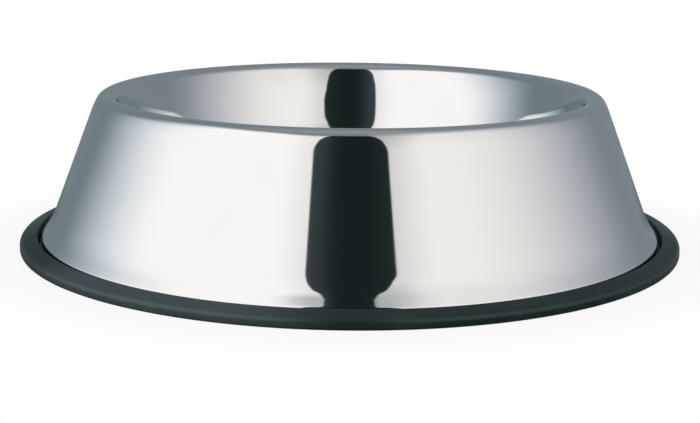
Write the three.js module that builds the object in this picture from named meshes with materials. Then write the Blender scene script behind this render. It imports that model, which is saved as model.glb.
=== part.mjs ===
// No-tip pet bowl: one pressed steel sheet, whose flared skirt stands in a moulded rubber ring.
// Millimetres, +Z up. The axis of the bowl is the Z axis, and the sole of the ring lies on z = 0.
import * as THREE from "three";

// Overall sizes
const BASE_DIAMETER = 250; // over the rubber ring
const OVERALL_HEIGHT = 57; // from the sole of the ring to the crest of the rim

// Steel bowl: the show face is the side that is seen, from the skirt over the rim into the well
const SHEET_THICKNESS = 0.7;
const SKIRT_LEAN = 21; // degrees off upright
const FLARE_TURN = 13.5; // degrees by which the skirt opens further towards its foot
const FLARE_RADIUS = 40;
const FOOT_BAND = 3.4; // straight band of sheet between the flare and the rolled edge
const BEAD_RADIUS = 1.6; // outside of the edge that is rolled in at the foot
const BEAD_WRAP = 215; // degrees that the rolled edge goes round
const RIM_RADIUS = 4.4; // outside of the rounded rim
const RIM_SHOULDER_RADIUS = 32; // easy bend between the skirt and the rim
const RIM_SHOULDER_TURN = 8; // degrees
const WELL_DEPTH = 48.5; // from the crest of the rim to the floor
const MOUTH_RADIUS = 80; // easy bend between the rim and the wall of the well
const MOUTH_TURN = 6; // degrees
const WELL_DRAFT = 16.5; // degrees off upright, narrowing downwards
const WELL_CORNER_RADIUS = 34;

// Rubber ring: a flange outside the skirt, a channel for the rolled foot, and a wall inside the skirt
const FLANGE_WIDTH = 6.5; // from the outer edge to the lip of the channel
const FLANGE_SLOPE = 16; // degrees by which the flange falls outwards
const GUTTER_WIDTH = 1.3; // open space at the lip, between the rubber and the widest part of the foot
const LIP_HEIGHT = 5.2;
const SHOULDER_RADIUS = 1.9; // between the flange and the outer edge
const MOULD_ROUND = 0.6; // on every other edge of the rubber
const SOLE_THICKNESS = 2.2; // rubber under the channel
const INNER_WALL_WIDTH = 3.6;
const INNER_WALL_HEIGHT = 6;

// Fits
const SEAT_GAP = 0.3; // between the rolled foot and the rubber below and inside it
const CHANNEL_GAP = 0.45; // between the rolled foot and the outer side of the channel

// Fineness of the round shapes
const FACETS_ROUND_AXIS = 80;
const BEAD_STEPS = 6;
const FLARE_STEPS = 4;
const RIM_SHOULDER_STEPS = 2;
const RIM_STEPS = 5; // on each side of the crest
const MOUTH_STEPS = 2;
const CORNER_STEPS = 7;
const SHOULDER_STEPS = 4;
const ROUND_STEPS = 2;

const RIGHT_ANGLE = 90;
const HALF_TURN = 180;

// A direction in the half-plane of radius and height, by its angle in degrees from the outward radius.
function direction(angle) {
  const radians = THREE.MathUtils.degToRad(angle);
  return new THREE.Vector2(Math.cos(radians), Math.sin(radians));
}

// Points on an arc, from one angle to another in degrees.
function arc(centre, radius, from, to, steps) {
  return Array.from({ length: steps + 1 }, (_, step) =>
    direction(THREE.MathUtils.lerp(from, to, step / steps)).multiplyScalar(radius).add(centre),
  );
}

// A solid of revolution about +Z from a profile of radii and heights, anticlockwise round the material.
function revolve(profile) {
  return new THREE.LatheGeometry(profile, FACETS_ROUND_AXIS).rotateX(Math.PI / 2);
}

// Radii and heights that both pieces share
const ringRadius = BASE_DIAMETER / 2;
const lipRadius = ringRadius - FLANGE_WIDTH;
const footRadius = lipRadius - GUTTER_WIDTH;
const footCentre = new THREE.Vector2(footRadius - BEAD_RADIUS, SOLE_THICKNESS + SEAT_GAP + BEAD_RADIUS);

// A bend of the sheet, as points on its show face, each with the direction in which that face looks.
// On an outward bend the show face is the longer side, and on an inward bend the shorter one.
function bend(centre, radius, from, to, steps, outward) {
  return arc(centre, radius, from, to, steps).map((point) => ({
    point,
    facing: point.clone().sub(centre).normalize().multiplyScalar(outward ? 1 : -1),
  }));
}

// The middle of a bend beside a straight stretch of the sheet, given the height of that middle, the way the
// stretch faces, its distance from the origin along that way, and how far the middle lies behind its show
// face (negative where it lies in front).
function tangentCentre(height, facing, distance, depth) {
  return new THREE.Vector2((distance - depth - facing.y * height) / facing.x, height);
}

function steelBowl() {
  const footLean = SKIRT_LEAN + FLARE_TURN;
  const bead = bend(footCentre, BEAD_RADIUS, footLean - BEAD_WRAP, footLean, BEAD_STEPS, true);

  const flareCentre = direction(footLean).multiplyScalar(BEAD_RADIUS + FLARE_RADIUS).add(footCentre);
  flareCentre.addScaledVector(direction(footLean + RIGHT_ANGLE), FOOT_BAND);
  const flareStart = footLean + HALF_TURN;
  const flareEnd = SKIRT_LEAN + HALF_TURN;
  const flare = bend(flareCentre, FLARE_RADIUS, flareStart, flareEnd, FLARE_STEPS, false);

  const skirtFacing = direction(SKIRT_LEAN);
  const skirtDistance = flare.at(-1).point.dot(skirtFacing);
  const rimStart = SKIRT_LEAN + RIM_SHOULDER_TURN;
  const shoulderToRim = RIM_SHOULDER_RADIUS - RIM_RADIUS;
  const rimDepth = RIM_SHOULDER_RADIUS - shoulderToRim * direction(RIM_SHOULDER_TURN).x;
  const rimCentre = tangentCentre(OVERALL_HEIGHT - RIM_RADIUS, skirtFacing, skirtDistance, rimDepth);
  const shoulderCentre = rimCentre.clone().addScaledVector(direction(rimStart), -shoulderToRim);
  const shoulder = bend(shoulderCentre, RIM_SHOULDER_RADIUS, SKIRT_LEAN, rimStart, RIM_SHOULDER_STEPS, true);
  const rimOutside = bend(rimCentre, RIM_RADIUS, rimStart, RIGHT_ANGLE, RIM_STEPS, true);

  const mouthEnd = HALF_TURN - WELL_DRAFT;
  const mouthStart = mouthEnd - MOUTH_TURN;
  const rimInside = bend(rimCentre, RIM_RADIUS, RIGHT_ANGLE, mouthStart, RIM_STEPS, true);
  const mouthCentre = rimCentre.clone().addScaledVector(direction(mouthStart), RIM_RADIUS - MOUTH_RADIUS);
  const mouth = bend(mouthCentre, MOUTH_RADIUS, mouthStart, mouthEnd, MOUTH_STEPS, true);

  const floorHeight = OVERALL_HEIGHT - WELL_DEPTH;
  const wallFacing = direction(mouthEnd);
  const wallDistance = mouth.at(-1).point.dot(wallFacing);
  const cornerHeight = floorHeight + WELL_CORNER_RADIUS;
  const cornerCentre = tangentCentre(cornerHeight, wallFacing, wallDistance, -WELL_CORNER_RADIUS);
  const corner = bend(cornerCentre, WELL_CORNER_RADIUS, -WELL_DRAFT, -RIGHT_ANGLE, CORNER_STEPS, false);

  const floorMiddle = { point: new THREE.Vector2(0, floorHeight), facing: new THREE.Vector2(0, 1) };
  const skirt = [...bead, ...flare, ...shoulder, ...rimOutside.slice(1)];
  const well = [...rimInside.slice(1), ...mouth.slice(1), ...corner, floorMiddle];
  const sheet = [...skirt, ...well];
  const showFace = sheet.map(({ point }) => point);
  const backFace = sheet.map(({ point, facing }) => point.clone().addScaledVector(facing, -SHEET_THICKNESS));
  return revolve([...backFace.reverse(), ...showFace]);
}

function rubberRing() {
  const innerRadius = footRadius - 2 * BEAD_RADIUS - SEAT_GAP - INNER_WALL_WIDTH;
  const channelInside = innerRadius + INNER_WALL_WIDTH;
  const channelOutside = footRadius + CHANNEL_GAP;

  // An edge of the moulding, rounded from one facing direction to the next.
  const edge = (radius, height, from, to) =>
    arc(new THREE.Vector2(radius, height), MOULD_ROUND, from, to, ROUND_STEPS);

  const crestHeight = LIP_HEIGHT - MOULD_ROUND;
  const crestRadius = lipRadius + MOULD_ROUND;
  const flangeFacing = direction(RIGHT_ANGLE - FLANGE_SLOPE);
  const flangeDistance = new THREE.Vector2(crestRadius, crestHeight).dot(flangeFacing) + MOULD_ROUND;
  const shoulderRadius = ringRadius - SHOULDER_RADIUS;
  const shoulderDistance = flangeDistance - SHOULDER_RADIUS;
  const shoulderHeight = (shoulderDistance - flangeFacing.x * shoulderRadius) / flangeFacing.y;
  const shoulderCentre = new THREE.Vector2(shoulderRadius, shoulderHeight);

  const wallTop = INNER_WALL_HEIGHT - MOULD_ROUND;
  const profile = [
    ...edge(innerRadius + MOULD_ROUND, MOULD_ROUND, -HALF_TURN, -RIGHT_ANGLE),
    ...edge(ringRadius - MOULD_ROUND, MOULD_ROUND, -RIGHT_ANGLE, 0),
    ...arc(shoulderCentre, SHOULDER_RADIUS, 0, RIGHT_ANGLE - FLANGE_SLOPE, SHOULDER_STEPS),
    ...edge(crestRadius, crestHeight, RIGHT_ANGLE - FLANGE_SLOPE, HALF_TURN),
    new THREE.Vector2(channelOutside, SOLE_THICKNESS),
    new THREE.Vector2(channelInside, SOLE_THICKNESS),
    ...edge(channelInside - MOULD_ROUND, wallTop, 0, RIGHT_ANGLE),
    ...edge(innerRadius + MOULD_ROUND, wallTop, RIGHT_ANGLE, HALF_TURN),
  ];
  return revolve([...profile, profile[0].clone()]);
}

function piece(name, geometry, look) {
  const mesh = new THREE.Mesh(geometry, new THREE.MeshStandardMaterial(look));
  mesh.name = name;
  return mesh;
}

const bowl = new THREE.Group();
bowl.add(
  piece("steel_bowl", steelBowl(), { color: 0xd6d8da, roughness: 0.08, metalness: 1 }),
  piece("rubber_ring", rubberRing(), { color: 0x2c3434, roughness: 0.6, metalness: 0 }),
);

export default bowl;
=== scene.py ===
"""No-tip pet bowl: the mirror-polished steel bowl and its rubber ring, dressed for a studio view.

Metres, +Z up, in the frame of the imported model.
"""
import math

import bmesh
import bpy
from mathutils import Matrix, Vector


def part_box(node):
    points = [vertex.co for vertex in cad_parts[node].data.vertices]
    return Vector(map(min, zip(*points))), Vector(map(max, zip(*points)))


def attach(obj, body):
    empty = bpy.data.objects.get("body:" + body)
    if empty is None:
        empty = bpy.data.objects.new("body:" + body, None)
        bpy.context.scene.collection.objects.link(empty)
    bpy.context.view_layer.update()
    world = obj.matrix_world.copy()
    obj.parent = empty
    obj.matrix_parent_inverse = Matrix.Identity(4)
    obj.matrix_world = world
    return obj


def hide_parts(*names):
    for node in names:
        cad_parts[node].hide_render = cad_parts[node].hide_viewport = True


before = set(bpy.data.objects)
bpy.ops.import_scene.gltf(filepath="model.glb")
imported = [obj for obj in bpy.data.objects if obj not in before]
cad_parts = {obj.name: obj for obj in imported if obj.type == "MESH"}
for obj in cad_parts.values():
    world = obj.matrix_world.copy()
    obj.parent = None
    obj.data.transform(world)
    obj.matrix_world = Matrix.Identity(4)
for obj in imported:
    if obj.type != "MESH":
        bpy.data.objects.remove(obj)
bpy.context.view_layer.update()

bl_info = {
    "name": "No-tip pet bowl",
    "version": (1, 0, 0),
    "blender": (4, 5, 0),
    "location": "View3D > Sidebar > Pet bowl",
    "description": "Builds a polished steel pet bowl in its rubber ring, with a studio stage",
    "category": "Add Mesh",
}

PHOTO_WIDTH = 700  # pixels
RIGHT_ANGLE = math.pi / 2
MM = 0.001
WHITE = (1.0, 1.0, 1.0)
BLACK = (0.0, 0.0, 0.0)

BOWL_LOW, BOWL_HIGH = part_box("steel_bowl")
_, RING_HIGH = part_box("rubber_ring")

# Fineness of the turned pieces
FACETS_ROUND_AXIS = 256
BEND_STEP = math.radians(3)
SHOULDER_STEP = math.radians(6)
MOULD_STEP = math.radians(15)
POINT_GAP = MM  # neighbouring points of an arc are no further apart
SUPPORT_GAP = 0.4 * MM  # from the end of a straight stretch to the point that keeps it flat
SUPPORTED_SPAN = 6 * SUPPORT_GAP  # a shorter stretch needs no such points
SHARP_ANGLE = math.radians(40)

# Finish of the steel; a scale of noise is in waves to a metre
NOISE_DETAIL = 3.0
POLISH_RING_SCALE = 2600.0
POLISH_RING_ROUGHNESS = 0.012
POLISH_RING_BUMP = 0.02
POLISH_RING_DEPTH = 0.02 * MM
SMEAR_SCALE = 45.0
SMEAR_RANGE = (0.5, 0.75)
SMEAR_ROUGHNESS = 0.02
SMEAR_STRENGTH = 0.25
SMEAR_SHADE = 0.94

# Finish of the rubber; each WEAR or SHARE says how much of the lighter rubber colour a mark of wear or a
# patch of painted light brings
RUBBER_GLOSS = 0.55
GRAIN_SCALE = 2200.0
GRAIN_DETAIL = 2.0
GRAIN_ROUGHNESS = 0.08
GRAIN_BUMP = 0.25
GRAIN_DEPTH = 0.08 * MM
BLOOM_SCALE = 60.0
BLOOM_RANGE = (0.45, 0.75)
BLOOM_WEAR = 0.12
EDGE_WIDTH = 2 * MM
EDGE_POLISH = 0.15
SCUFF_SCALE = 420.0
SCUFF_RANGE = (0.55, 0.7)
SCUFF_WEAR = 0.1
PAINTED_SHEEN_TURN = math.radians(238)  # from +X, to the middle of the stretch painted lighter, a painted sheen on the left front
PAINTED_SHEEN_RANGE = (0.86, 0.97)  # cosine of the angle to that middle
PAINTED_SHEEN_SHARE = 0.66
BACK_LIGHT_RANGE = (-0.27, 0.05)  # share of the radius, towards the back: painted light, the back of the ring painted lighter
BACK_LIGHT_SHARE = 0.6
EDGE_LIGHT_RANGE = (0.06, 0.0)  # square of the share of the radius, to either side: painted light on the front and back of the outer edge
EDGE_LIGHT_SHARE = 0.22
# Painted contact shadow: the rubber is darker and rougher in its lowest stretch, next to the floor
CONTACT_SHADE_HEIGHT = 1.3 * MM
CONTACT_SHADE_COLOUR = (0.002, 0.003, 0.003)
CONTACT_SHADE_STRENGTH = 0.8
CONTACT_SHADE_ROUGHNESS = 0.3


def span(start, end):
    """A stretch of angles, given in degrees, over which something goes from nothing to full."""
    return math.radians(start), math.radians(end)


# Light tent: a SIDE is an angle round from the middle of the gap, and a RISE is an angle up from the floor
HALVES_MEET = (-0.05, 0.05)  # sideways part of a direction
LEFT_BOX_SIDE = span(127, 68)
LEFT_COOL_SIDE = span(102, 72)
LEFT_TOP = math.radians(59.5)
LEFT_TOP_SOFTNESS = math.radians(7.5)
LEFT_TOP_SINK = math.radians(9)
LEFT_TOP_SINK_SIDE = span(52, 16)
LEFT_END_TURN = math.radians(6)
LEFT_END_RISE = span(24, 42)
LEFT_DIM = 0.2
LEFT_DIM_SIDE = span(29, 13)
RIGHT_BOX_SIDE = span(128, 37)
RIGHT_BOX_START = span(8.5, 13.5)
RIGHT_COOL_SIDE = span(98, 62)
RIGHT_TOP = math.radians(50)
RIGHT_TOP_END = math.radians(80)
RIGHT_TOP_SINK = math.radians(23)
RIGHT_TOP_SINK_SIDE = span(50, 15)
RIGHT_DIM = 0.33
RIGHT_DIM_SIDE = span(32, 12)
RIGHT_HIGH_DIM = 0.09
RIGHT_HIGH_DIM_SIDE = span(72, 45)
RIGHT_HIGH_DIM_RISE = span(30, 42)
ROOM_HALVES = (-0.7, 0.3)  # sideways part of a direction
CEILING_RISE = span(56, 80)
CEILING_SHADE = 0.5
CEILING_SHADE_SIDE = span(25, 9)
CEILING_SHADE_RISE = span(78, 60)
BELOW_RISE = span(-1, -10)
GAP_SOFTNESS = math.radians(0.35)
GAP_SPREAD_RISE = span(33.5, 22)
GAP_TOP_RISE = span(56.5, 54.5)
GAP_NARROWINGS = (
    (math.radians(0.9), span(33, 42.5)),
    (math.radians(2.7), span(40.5, 48)),
    (math.radians(1.1), span(48, 53)),
)
LEFT_GLOW_SIDE = span(3, 15)
RIGHT_GLOW = 0.15
RIGHT_GLOW_SIDE = span(5, 15)
TENT_COLUMNS = 96
TENT_ROWS = 48

# Floor and camera
FLOOR_SHARE = 0.9  # of the width of the tent
FLOOR_FACETS = 96
FLOOR_FADE = (0.17, 0.122)  # from the axis: where the floor begins to show, and where it shows fully
CAMERA_NEAR = 0.01


def length(name, description, default):
    """A size in metres that a user may change."""
    return bpy.props.FloatProperty(
        name=name, description=description, default=default, min=0.0, precision=5, unit="LENGTH"
    )


def angle(name, description, degrees):
    """An angle that a user may change, given in degrees."""
    return bpy.props.FloatProperty(
        name=name, description=description, default=math.radians(degrees), subtype="ANGLE"
    )


def share(name, description, default):
    """A number from 0 to 1 that a user may change."""
    return bpy.props.FloatProperty(
        name=name, description=description, default=default, min=0.0, max=1.0, subtype="FACTOR"
    )


def colour(name, description, default):
    """A linear colour that a user may change."""
    return bpy.props.FloatVectorProperty(
        name=name, description=description, default=default, size=3, min=0.0, max=1.0, subtype="COLOR"
    )


class SteelBowlSettings(bpy.types.PropertyGroup):
    """Sizes and finish of the pressed steel bowl."""

    foot_radius: length("Foot radius", "Widest part of the rolled foot", BOWL_HIGH.x)
    foot_height: length("Foot height", "Lowest point of the rolled foot", BOWL_LOW.z)
    top: length("Top", "Height of the crest of the rim", BOWL_HIGH.z)
    thickness: length("Sheet", "Thickness of the steel sheet", 0.7 * MM)
    lean: angle("Skirt lean", "Lean of the skirt off upright", 21)
    flare_turn: angle("Flare turn", "How much further the skirt opens towards its foot", 16.5)
    flare_radius: length("Flare radius", "Hollow bend between the skirt and its foot", 24.9 * MM)
    foot_band: length("Foot band", "Straight band between the flare and the rolled edge", 3.0 * MM)
    bead_radius: length("Bead radius", "Outside of the edge that is rolled in", 1.6 * MM)
    bead_wrap: angle("Bead wrap", "How far the rolled edge goes round", 215)
    rim_radius: length("Rim radius", "Outside of the rounded rim", 4.4 * MM)
    shoulder_radius: length("Shoulder radius", "Easy bend between the skirt and the rim", 32 * MM)
    shoulder_turn: angle("Shoulder turn", "How far that bend goes round", 8)
    well_depth: length("Well depth", "From the crest of the rim to the floor", 48.5 * MM)
    mouth_radius: length("Mouth radius", "Easy bend between the rim and the wall of the well", 80 * MM)
    mouth_turn: angle("Mouth turn", "How far that bend goes round", 9.5)
    well_draft: angle("Well draft", "Lean of the wall of the well off upright", 13)
    corner_radius: length("Well corner", "Bend between the wall and the floor", 34 * MM)
    steel: colour("Steel", "Colour of the polished sheet", (0.80, 0.81, 0.82))
    polish: share("Polish", "Roughness of the mirror finish", 0.035)


class RubberRingSettings(bpy.types.PropertyGroup):
    """Sizes and finish of the moulded rubber ring."""

    radius: length("Ring radius", "Outer edge of the ring", RING_HIGH.x)
    flange_width: length("Flange width", "From the outer edge to the lip", 6.5 * MM)
    flange_slope: angle("Flange slope", "How much the flange falls outwards", 16)
    lip_height: length("Lip height", "Height of the lip over the sole", 5.2 * MM)
    shoulder: length("Shoulder", "Round between the flange and the outer edge", 1.9 * MM)
    mould_round: length("Edge round", "Round on the other edges", 0.6 * MM)
    sole: length("Sole", "Rubber under the channel", 2.2 * MM)
    wall_width: length("Inner wall width", "Wall inside the foot of the skirt", 3.6 * MM)
    wall_height: length("Inner wall height", "Top of that wall", RING_HIGH.z)
    seat_gap: length("Seat gap", "Between the rolled foot and the wall inside it", 0.3 * MM)
    channel_gap: length("Channel gap", "Between the rolled foot and the side of the channel", 0.45 * MM)
    rubber: colour("Rubber", "Colour of the clean rubber", (0.003, 0.013, 0.012))
    # This lighter colour serves both real dust and scuffs and the painted light on the ring
    dust_and_light: colour("Dusty rubber", "Colour of its dusty and scuffed places", (0.081, 0.107, 0.124))
    sheen: colour("Sheen", "Tint of the light that the rubber throws back", (0.7, 0.98, 1.0))
    dullness: share("Dullness", "Roughness of the clean rubber", 0.4)


class StageSettings(bpy.types.PropertyGroup):
    """The studio: camera, floor and the light tent that the steel mirrors."""

    camera_distance: length("Camera distance", "From the axis of the bowl", 0.546)
    camera_height: length("Camera height", "Over the floor", 0.12978)
    aim_height: length("Aim height", "Point of the axis that the camera looks at", 0.00978)
    camera_roll: angle("Camera roll", "Tilt of the picture", 0.516)
    focal: bpy.props.FloatProperty(
        name="Focal length", description="Focal length in pixels of the picture", default=1444.6, min=1.0
    )
    tent_length: length("Tent length", "From the bowl to the front, back and top of the tent", 0.75)
    tent_width: length("Tent width", "From the bowl to the sides of the tent", 0.48)
    left_box: colour("Left soft box", "Light of the soft box on the left", (0.974, 0.947, 0.919))
    left_side: colour("Left far side", "Light where the left box fades out", (0.88, 0.945, 1.0))
    right_side: colour("Right far side", "Light where the right box fades out", (0.885, 0.85, 0.92))
    right_box: colour("Right soft box", "Light of the soft box on the right", (0.878, 0.854, 0.814))
    room_left: colour("Room on the left", "Dim light from the left and behind", (0.157, 0.199, 0.221))
    room_right: colour("Room on the right", "Dim light from the right and behind", (0.180, 0.220, 0.239))
    ceiling: colour("Ceiling", "Light from above the soft boxes", (0.26, 0.272, 0.275))
    below: colour("Below", "Light from below the soft boxes", (0.10, 0.12, 0.12))
    gap: colour("Gap", "Dark gap between the soft boxes", (0.0078, 0.0155, 0.0146))
    gap_glow: colour("Glow of the gap", "Light spilt into the sides of the gap", (0.034, 0.046, 0.050))
    gap_left: angle("Gap to the left", "From the middle of the gap to the left soft box", 15.15)
    gap_right: angle("Gap to the right", "From the middle of the gap to the right soft box", 15.2)
    gap_spread: angle("Gap spread", "How much wider the gap is on the right further down", 1.15)
    tent_strength: bpy.props.FloatProperty(
        name="Tent strength", description="Strength of the light of the tent", default=1.2, min=0.0
    )
    floor: colour("Floor", "Colour of the pale floor", (0.85, 0.85, 0.85))
    floor_opacity: share("Floor strength", "How much of the floor and its shadow shows", 0.10)


class Wire:
    """An output of a shader node; arithmetic on it adds Math nodes to its tree."""

    def __init__(self, look, socket):
        self.look = look
        self.socket = socket

    def math(self, operation, *others):
        """This value and others, in that order, through a Math node."""
        return self.look.maths(operation, self, *others)

    def __add__(self, other):
        return self.math("ADD", other)

    def __radd__(self, other):
        return self.look.maths("ADD", other, self)

    def __sub__(self, other):
        return self.math("SUBTRACT", other)

    def __rsub__(self, other):
        return self.look.maths("SUBTRACT", other, self)

    def __mul__(self, other):
        return self.math("MULTIPLY", other)

    def __rmul__(self, other):
        return self.look.maths("MULTIPLY", other, self)

    def __truediv__(self, other):
        return self.math("DIVIDE", other)

    def __rtruediv__(self, other):
        return self.look.maths("DIVIDE", other, self)

    def __abs__(self):
        return self.math("ABSOLUTE")

    def smooth(self, start, end):
        """A soft step from 0 at start to 1 at end; either end may be another wire."""
        sockets = {"Value": self, "From Min": start, "From Max": end}
        return self.look.node("ShaderNodeMapRange", {"interpolation_type": "SMOOTHSTEP"}, sockets)["Result"]


class Look:
    """A material under construction."""

    def __init__(self, name):
        self.material = bpy.data.materials.new(name)
        self.material.use_nodes = True
        self.tree = self.material.node_tree
        self.tree.nodes.clear()

    @staticmethod
    def entry(node, key):
        """An input by its number, or by its name among those that the node's settings leave in use."""
        if isinstance(key, int):
            return node.inputs[key]
        return next(socket for socket in node.inputs if socket.enabled and socket.name == key)

    def node(self, kind, settings=None, sockets=None):
        """Adds a node: its settings first, then the values or links of its sockets; returns its outputs."""
        node = self.tree.nodes.new(kind)
        for name, value in (settings or {}).items():
            setattr(node, name, value)
        for key, value in (sockets or {}).items():
            if isinstance(value, Wire):
                self.tree.links.new(value.socket, self.entry(node, key))
            else:
                self.entry(node, key).default_value = value
        return {output.name: Wire(self, output) for output in node.outputs if output.enabled}

    def maths(self, operation, *terms):
        """Values and wires through a Math node, in the order given."""
        return self.node("ShaderNodeMath", {"operation": operation}, dict(enumerate(terms)))["Value"]

    def place(self):
        """Where a point of the piece lies."""
        return self.node("ShaderNodeTexCoord")["Object"]

    def split(self, vector):
        """The three coordinates of a vector."""
        return tuple(self.node("ShaderNodeSeparateXYZ", None, {"Vector": vector}).values())

    def noise(self, vector, scale, detail=NOISE_DETAIL):
        """Fractal noise from 0 to 1, with the given number of waves in a metre."""
        sockets = {"Vector": vector, "Scale": scale, "Detail": detail}
        return self.node("ShaderNodeTexNoise", None, sockets)["Fac"]

    def blend(self, factor, first, second):
        """A colour between two colours."""
        sockets = {"Factor": factor, "A": first, "B": second}
        return self.node("ShaderNodeMix", {"data_type": "RGBA"}, sockets)["Result"]

    def bump(self, height, strength, distance):
        """A normal that follows a height."""
        sockets = {"Height": height, "Strength": strength, "Distance": distance}
        return self.node("ShaderNodeBump", None, sockets)["Normal"]

    def finish(self, shader):
        """Puts a shader on the surface."""
        self.node("ShaderNodeOutputMaterial", None, {"Surface": shader})
        return self.material


def rgba(rgb):
    """A colour with full opacity."""
    return (*rgb, 1.0)


def from_axis(x, y):
    """Distance from the axis of the bowl."""
    return (x * x + y * y).math("SQRT")


def polished_steel(settings):
    """Mirror-polished sheet with faint polishing rings and finger smears."""
    look = Look("polished_steel")
    place = look.place()
    x, y, z = look.split(place)
    profile = look.node("ShaderNodeCombineXYZ", None, {"X": from_axis(x, y), "Y": z})["Vector"]
    rings = look.noise(profile, POLISH_RING_SCALE)
    smears = look.noise(place, SMEAR_SCALE).smooth(*SMEAR_RANGE)
    smeared = [channel * SMEAR_SHADE for channel in settings.steel]
    shader = look.node(
        "ShaderNodeBsdfPrincipled",
        None,
        {
            "Base Color": look.blend(SMEAR_STRENGTH * smears, rgba(settings.steel), rgba(smeared)),
            "Metallic": 1.0,
            "Roughness": settings.polish + POLISH_RING_ROUGHNESS * rings + SMEAR_ROUGHNESS * smears,
            "Normal": look.bump(rings, POLISH_RING_BUMP, POLISH_RING_DEPTH),
        },
    )
    return look.finish(shader["BSDF"])


def rubber_wear_and_light(look, place, x, y, radius, edge):
    """How much of the lighter colour the rubber takes: wear, as bloom and scuffs on its edge, and painted
    light, on the front and back of its edge, on a stretch of the left front and towards the back.
    """
    bloom = look.noise(place, BLOOM_SCALE).smooth(*BLOOM_RANGE)
    scuffs = edge * look.noise(place, SCUFF_SCALE).smooth(*SCUFF_RANGE)
    # Painted light: the outer edge is painted lighter at its front and back
    painted_edge_light = edge * (x * x / (radius * radius)).smooth(*EDGE_LIGHT_RANGE)
    # Painted sheen: a stretch of the left front is painted lighter and bluer, as if lit by the left soft
    # box
    towards_painted_sheen = (math.cos(PAINTED_SHEEN_TURN) * x + math.sin(PAINTED_SHEEN_TURN) * y) / radius
    painted_sheen = towards_painted_sheen.smooth(*PAINTED_SHEEN_RANGE)
    # Painted light: the ring is painted lighter towards the back, for the light it catches from behind
    painted_back_light = (y / radius).smooth(*BACK_LIGHT_RANGE)
    # Bloom and scuffs are wear; the lighter edge, the painted sheen and the lighter back are painted light
    marks_and_edge_light = BLOOM_WEAR * bloom + SCUFF_WEAR * scuffs + EDGE_LIGHT_SHARE * painted_edge_light
    return marks_and_edge_light + PAINTED_SHEEN_SHARE * painted_sheen + BACK_LIGHT_SHARE * painted_back_light


def moulded_rubber(settings):
    """Satin rubber with a fine grain, wear and painted light, and a painted contact shadow along the floor.
    """
    look = Look("base_rubber")
    place = look.place()
    x, y, z = look.split(place)
    radius = from_axis(x, y)
    grain = look.noise(place, GRAIN_SCALE, GRAIN_DETAIL)
    edge = radius.smooth(settings.radius - EDGE_WIDTH, settings.radius)
    # Painted contact shadow, darker towards the floor
    contact_shade = z.smooth(CONTACT_SHADE_HEIGHT, 0.0)
    wear_and_light = rubber_wear_and_light(look, place, x, y, radius, edge)
    tint = look.blend(wear_and_light, rgba(settings.rubber), rgba(settings.dust_and_light))
    worn = settings.dullness + GRAIN_ROUGHNESS * grain - EDGE_POLISH * edge
    shader = look.node(
        "ShaderNodeBsdfPrincipled",
        None,
        {
            "Base Color": look.blend(CONTACT_SHADE_STRENGTH * contact_shade, tint, rgba(CONTACT_SHADE_COLOUR)),
            "Roughness": worn + CONTACT_SHADE_ROUGHNESS * contact_shade,
            "Specular IOR Level": RUBBER_GLOSS,
            "Specular Tint": rgba(settings.sheen),
            "Normal": look.bump(grain, GRAIN_BUMP, GRAIN_DEPTH),
        },
    )
    return look.finish(shader["BSDF"])


def direction(turn):
    """A direction by its angle: from the outward radius up in a profile, or from +X to +Y in plan."""
    return Vector((math.cos(turn), math.sin(turn)))


def arc(centre, radius, start, end, step):
    """Points on an arc, no further apart than a given angle and the gap between points."""
    count = max(2, math.ceil(abs(end - start) / min(step, POINT_GAP / radius)))
    return [centre + direction(start + (end - start) * i / count) * radius for i in range(count + 1)]


def bend(centre, radius, start, end, outward):
    """A bend of the sheet: points on its show face, each with the way that face looks."""
    sign = 1 if outward else -1
    points = arc(centre, radius, start, end, BEND_STEP)
    return [(point, (point - centre).normalized() * sign) for point in points]


def tangent_centre(height, facing, distance, depth):
    """The middle of a bend beside a straight stretch of the sheet, given the height of that middle.

    The stretch lies at a distance from the origin along the way that it faces. The depth says how far the
    middle lies behind the show face of the stretch, and is negative where it lies in front.
    """
    return Vector(((distance - depth - facing.y * height) / facing.x, height))


def with_supports(sheet):
    """The sheet with a point close to each end of every long straight stretch, which keeps it flat."""
    points = [sheet[0]]
    for (start, _), (end, facing) in zip(sheet, sheet[1:]):
        stretch = end - start
        if stretch.length > SUPPORTED_SPAN:
            along = stretch.normalized()
            across = Vector((along.y, -along.x))
            straight = across if across.dot(facing) > 0 else -across
            points += [(start + along * SUPPORT_GAP, straight), (end - along * SUPPORT_GAP, straight)]
        points.append((end, facing))
    return points


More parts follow.
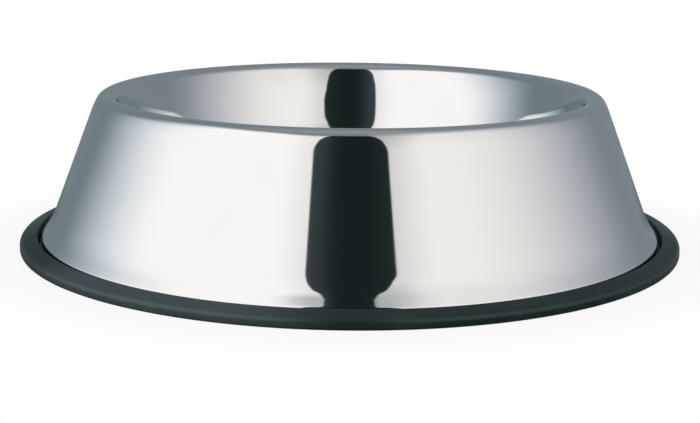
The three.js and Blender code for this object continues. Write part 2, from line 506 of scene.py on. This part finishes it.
def steel_profile(bowl):
    """Outline of the sheet: its back from the well to the foot, then its show face to the well again."""
    foot_lean = bowl.lean + bowl.flare_turn
    foot_centre = Vector((bowl.foot_radius - bowl.bead_radius, bowl.foot_height + bowl.bead_radius))
    bead = bend(foot_centre, bowl.bead_radius, foot_lean - bowl.bead_wrap, foot_lean, True)

    flare_centre = foot_centre + direction(foot_lean) * (bowl.bead_radius + bowl.flare_radius)
    flare_centre += direction(foot_lean + RIGHT_ANGLE) * bowl.foot_band
    flare = bend(flare_centre, bowl.flare_radius, foot_lean + math.pi, bowl.lean + math.pi, False)

    skirt_facing = direction(bowl.lean)
    skirt_distance = flare[-1][0].dot(skirt_facing)
    rim_start = bowl.lean + bowl.shoulder_turn
    shoulder_to_rim = bowl.shoulder_radius - bowl.rim_radius
    rim_depth = bowl.shoulder_radius - shoulder_to_rim * math.cos(bowl.shoulder_turn)
    rim_centre = tangent_centre(bowl.top - bowl.rim_radius, skirt_facing, skirt_distance, rim_depth)
    shoulder_centre = rim_centre - direction(rim_start) * shoulder_to_rim
    shoulder = bend(shoulder_centre, bowl.shoulder_radius, bowl.lean, rim_start, True)

    mouth_end = math.pi - bowl.well_draft
    mouth_start = mouth_end - bowl.mouth_turn
    rim = bend(rim_centre, bowl.rim_radius, rim_start, mouth_start, True)
    mouth_centre = rim_centre + direction(mouth_start) * (bowl.rim_radius - bowl.mouth_radius)
    mouth = bend(mouth_centre, bowl.mouth_radius, mouth_start, mouth_end, True)

    floor = bowl.top - bowl.well_depth
    wall_facing = direction(mouth_end)
    wall_distance = mouth[-1][0].dot(wall_facing)
    corner_height = floor + bowl.corner_radius
    corner_centre = tangent_centre(corner_height, wall_facing, wall_distance, -bowl.corner_radius)
    corner = bend(corner_centre, bowl.corner_radius, -bowl.well_draft, -RIGHT_ANGLE, False)

    floor_middle = (Vector((0, floor)), Vector((0, 1)))
    sheet = with_supports([*bead, *flare, *shoulder, *rim[1:], *mouth[1:], *corner, floor_middle])
    back = [point - facing * bowl.thickness for point, facing in sheet]
    return [*reversed(back), *(point for point, _ in sheet)]


def ring_profile(ring, foot_radius, bead_radius):
    """Closed outline of the moulded ring round the rolled foot."""
    edge_round = ring.mould_round
    channel_inside = foot_radius - 2 * bead_radius - ring.seat_gap
    inside = channel_inside - ring.wall_width

    def edge(radius, height, start, end):
        """An edge of the moulding, rounded from one facing direction to the next."""
        return arc(Vector((radius, height)), edge_round, start, end, MOULD_STEP)

    lip = Vector((ring.radius - ring.flange_width + edge_round, ring.lip_height - edge_round))
    slope = RIGHT_ANGLE - ring.flange_slope
    facing = direction(slope)
    shoulder_radius = ring.radius - ring.shoulder
    reach = lip.dot(facing) + edge_round - ring.shoulder
    shoulder = Vector((shoulder_radius, (reach - facing.x * shoulder_radius) / facing.y))
    wall_top = ring.wall_height - edge_round
    return [
        *edge(inside + edge_round, edge_round, -math.pi, -RIGHT_ANGLE),
        *edge(ring.radius - edge_round, edge_round, -RIGHT_ANGLE, 0),
        *arc(shoulder, ring.shoulder, 0, slope, SHOULDER_STEP),
        *edge(lip.x, lip.y, slope, math.pi),
        Vector((foot_radius + ring.channel_gap, ring.sole)),
        Vector((channel_inside, ring.sole)),
        *edge(channel_inside - edge_round, wall_top, 0, RIGHT_ANGLE),
        *edge(inside + edge_round, wall_top, RIGHT_ANGLE, math.pi),
    ]


def turned(name, profile):
    """A piece turned about the axis of the bowl, from an outline anticlockwise round the material."""
    facings = [direction(2 * math.pi * i / FACETS_ROUND_AXIS) for i in range(FACETS_ROUND_AXIS)]
    work = bmesh.new()
    circles = []
    for radius, height in profile:
        spokes = facings if radius > 0 else facings[:1]
        circles.append([work.verts.new((*(spoke * radius), height)) for spoke in spokes])
    for this, following in zip(circles, [*circles[1:], circles[0]]):
        for i in range(FACETS_ROUND_AXIS):
            steps = ((this, i), (this, i + 1), (following, i + 1), (following, i))
            corners = dict.fromkeys(circle[step % len(circle)] for circle, step in steps)
            if len(corners) > 2:
                work.faces.new(corners)
    mesh = bpy.data.meshes.new(name)
    work.to_mesh(mesh)
    work.free()
    mesh.shade_smooth()
    mesh.set_sharp_from_angle(angle=SHARP_ANGLE)
    piece = bpy.data.objects.new(name, mesh)
    bpy.context.scene.collection.objects.link(piece)
    return piece


def dress(piece, node, body, material):
    """Puts a finished piece in the place of its solid, on the body that carries it."""
    piece.data.materials.append(material)
    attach(piece, body)
    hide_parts(node)


class PETBOWL_OT_steel_bowl(bpy.types.Operator):
    """Build the pressed steel bowl"""

    bl_idname = "petbowl.steel_bowl"
    bl_label = "Steel bowl"

    def execute(self, context):
        settings = context.scene.steel_bowl
        piece = turned("polished_bowl", steel_profile(settings))
        dress(piece, "steel_bowl", "bowl", polished_steel(settings))
        return {"FINISHED"}


class PETBOWL_OT_rubber_ring(bpy.types.Operator):
    """Build the moulded rubber ring"""

    bl_idname = "petbowl.rubber_ring"
    bl_label = "Rubber ring"

    def execute(self, context):
        settings = context.scene.rubber_ring
        bowl = context.scene.steel_bowl
        profile = ring_profile(settings, bowl.foot_radius, bowl.bead_radius)
        piece = turned("moulded_ring", profile)
        dress(piece, "rubber_ring", "ring", moulded_rubber(settings))
        return {"FINISHED"}


def halves(right, on_left, on_right):
    """One value in the left half of the tent and another in its right half."""
    return on_left + right * (on_right - on_left)


def soft_box_cover(side, rise, right):
    """How strongly the soft boxes show.

    The left one ends in a clear edge above, which sinks towards the gap, and the right one fades out.
    """
    left_top = LEFT_TOP - LEFT_TOP_SINK * side.smooth(*LEFT_TOP_SINK_SIDE)
    left_end = side + LEFT_END_TURN * rise.smooth(*LEFT_END_RISE)
    left_box = left_end.smooth(*LEFT_BOX_SIDE)
    left_box *= rise.smooth(left_top + LEFT_TOP_SOFTNESS, left_top - LEFT_TOP_SOFTNESS)
    right_top = RIGHT_TOP - RIGHT_TOP_SINK * side.smooth(*RIGHT_TOP_SINK_SIDE)
    right_box = side.smooth(*RIGHT_BOX_SIDE) * side.smooth(*RIGHT_BOX_START)
    right_box *= rise.smooth(RIGHT_TOP_END, right_top)

    left_dim = LEFT_DIM * side.smooth(*LEFT_DIM_SIDE)
    right_dim = RIGHT_DIM * side.smooth(*RIGHT_DIM_SIDE)
    right_dim += RIGHT_HIGH_DIM * rise.smooth(*RIGHT_HIGH_DIM_RISE) * side.smooth(*RIGHT_HIGH_DIM_SIDE)
    return halves(right, left_box, right_box) * (1.0 - halves(right, left_dim, right_dim))


def soft_box_light(look, stage, side, right):
    """Colour of the soft boxes, each cooler towards its far side."""
    left_light = look.blend(side.smooth(*LEFT_COOL_SIDE), rgba(stage.left_side), rgba(stage.left_box))
    right_light = look.blend(side.smooth(*RIGHT_COOL_SIDE), rgba(stage.right_side), rgba(stage.right_box))
    return look.blend(right, left_light, right_light)


def room_light(look, stage, x, side, rise):
    """Colour of the dim room round the soft boxes, and of the ceiling, which is shaded over the gap."""
    shade = CEILING_SHADE * rise.smooth(*CEILING_SHADE_RISE) * side.smooth(*CEILING_SHADE_SIDE)
    above = look.blend(shade, rgba(stage.ceiling), rgba(BLACK))
    room = look.blend(x.smooth(*ROOM_HALVES), rgba(stage.room_left), rgba(stage.room_right))
    return look.blend(rise.smooth(*CEILING_RISE), room, above)


def gap_cover(stage, side, rise, right):
    """Where the dark gap between the soft boxes is; it narrows upwards and ends below the ceiling."""
    spread = stage.gap_spread * rise.smooth(*GAP_SPREAD_RISE)
    edge = halves(right, stage.gap_left, stage.gap_right + spread)
    for turn, rises in GAP_NARROWINGS:
        edge -= turn * rise.smooth(*rises)
    return side.smooth(edge + GAP_SOFTNESS, edge - GAP_SOFTNESS) * rise.smooth(*GAP_TOP_RISE)


def gap_light(look, stage, side, right):
    """Colour of the gap, with light spilt into its sides, mostly the left one."""
    glow = halves(right, side.smooth(*LEFT_GLOW_SIDE), RIGHT_GLOW * side.smooth(*RIGHT_GLOW_SIDE))
    return look.blend(glow, rgba(stage.gap), rgba(stage.gap_glow))


def tent_light(stage):
    """Light of the tent by direction: two soft boxes, a dark gap between them, a dim room and ceiling."""
    look = Look("soft_box_light")
    aim = look.node("ShaderNodeVectorMath", {"operation": "NORMALIZE"}, {0: look.place()})["Vector"]
    x, y, z = look.split(aim)
    side = abs(x.math("ARCTAN2", -1.0 * y))
    rise = z.math("ARCSINE")
    right = x.smooth(*HALVES_MEET)

    dim = room_light(look, stage, x, side, rise)
    light = look.blend(soft_box_cover(side, rise, right), dim, soft_box_light(look, stage, side, right))
    light = look.blend(rise.smooth(*BELOW_RISE), light, rgba(stage.below))
    light = look.blend(gap_cover(stage, side, rise, right), light, gap_light(look, stage, side, right))
    sockets = {"Color": light, "Strength": stage.tent_strength}
    return look.finish(look.node("ShaderNodeEmission", None, sockets)["Emission"])


def pale_floor(stage):
    """Pale floor that shows the bowl's shadow and fades into the white round it."""
    look = Look("pale_floor")
    x, y, _ = look.split(look.place())
    surface = look.node("ShaderNodeBsdfDiffuse", None, {"Color": rgba(stage.floor)})["BSDF"]
    clear = look.node("ShaderNodeBsdfTransparent")["BSDF"]
    shown = stage.floor_opacity * from_axis(x, y).smooth(*FLOOR_FADE)
    mixed = look.node("ShaderNodeMixShader", None, {"Fac": shown, 1: clear, 2: surface})["Shader"]
    return look.finish(mixed)


def staged(name, work, material):
    """A piece of the stage, from a mesh under construction."""
    mesh = bpy.data.meshes.new(name)
    work.to_mesh(mesh)
    work.free()
    mesh.materials.append(material)
    piece = bpy.data.objects.new(name, mesh)
    bpy.context.scene.collection.objects.link(piece)
    return piece


class PETBOWL_OT_stage(bpy.types.Operator):
    """Set up the floor, the light tent, the white surround and the camera"""

    bl_idname = "petbowl.stage"
    bl_label = "Stage"

    def execute(self, context):
        scene = context.scene
        stage = scene.bowl_stage
        scene.view_settings.view_transform = "Standard"
        self.add_floor(stage)
        self.add_tent(stage)
        self.add_surround(scene)
        self.add_camera(scene, stage)
        return {"FINISHED"}

    def add_floor(self, stage):
        work = bmesh.new()
        radius = stage.tent_width * FLOOR_SHARE
        bmesh.ops.create_circle(work, cap_ends=True, radius=radius, segments=FLOOR_FACETS)
        staged("floor", work, pale_floor(stage))

    def add_tent(self, stage):
        work = bmesh.new()
        bmesh.ops.create_uvsphere(
            work, u_segments=TENT_COLUMNS, v_segments=TENT_ROWS, radius=stage.tent_length
        )
        bmesh.ops.scale(work, vec=(stage.tent_width / stage.tent_length, 1, 1), verts=work.verts)
        tent = staged("light_tent", work, tent_light(stage))
        tent.visible_camera = False

    def add_surround(self, scene):
        world = bpy.data.worlds.new("white_surround")
        world.use_nodes = True
        world.node_tree.nodes["Background"].inputs["Color"].default_value = rgba(WHITE)
        scene.world = world

    def add_camera(self, scene, stage):
        data = bpy.data.cameras.new("camera")
        data.lens = stage.focal * data.sensor_width / PHOTO_WIDTH
        data.clip_start = CAMERA_NEAR
        camera = bpy.data.objects.new("camera", data)
        stand = Vector((0, -stage.camera_distance, stage.camera_height))
        sight = Vector((0, 0, stage.aim_height)) - stand
        turn = sight.to_track_quat("-Z", "Y").to_matrix().to_4x4()
        roll = Matrix.Rotation(stage.camera_roll, 4, "Z")
        camera.matrix_world = Matrix.Translation(stand) @ turn @ roll
        scene.collection.objects.link(camera)
        scene.camera = camera


class PETBOWL_PT_panel(bpy.types.Panel):
    """Lists the steps that build the bowl and its stage."""

    bl_idname = "PETBOWL_PT_panel"
    bl_label = "Pet bowl"
    bl_space_type = "VIEW_3D"
    bl_region_type = "UI"
    bl_category = "Pet bowl"

    def draw(self, context):
        for settings, step in STEPS.items():
            box = self.layout.box()
            box.operator(step.bl_idname)
            group = getattr(context.scene, settings)
            for name in group.bl_rna.properties.keys():
                if name not in {"rna_type", "name"}:
                    box.prop(group, name)


GROUPS = {
    "steel_bowl": SteelBowlSettings,
    "rubber_ring": RubberRingSettings,
    "bowl_stage": StageSettings,
}
STEPS = {
    "steel_bowl": PETBOWL_OT_steel_bowl,
    "rubber_ring": PETBOWL_OT_rubber_ring,
    "bowl_stage": PETBOWL_OT_stage,
}
CLASSES = (*GROUPS.values(), *STEPS.values(), PETBOWL_PT_panel)


def register():
    for cls in CLASSES:
        bpy.utils.register_class(cls)
    for name, group in GROUPS.items():
        setattr(bpy.types.Scene, name, bpy.props.PointerProperty(type=group))


def unregister():
    for name in GROUPS:
        delattr(bpy.types.Scene, name)
    for cls in reversed(CLASSES):
        bpy.utils.unregister_class(cls)


def main():
    """Builds the pieces and the stage."""
    register()
    bpy.ops.petbowl.steel_bowl()
    bpy.ops.petbowl.rubber_ring()
    bpy.ops.petbowl.stage()


if __name__ == "__main__":
    main()
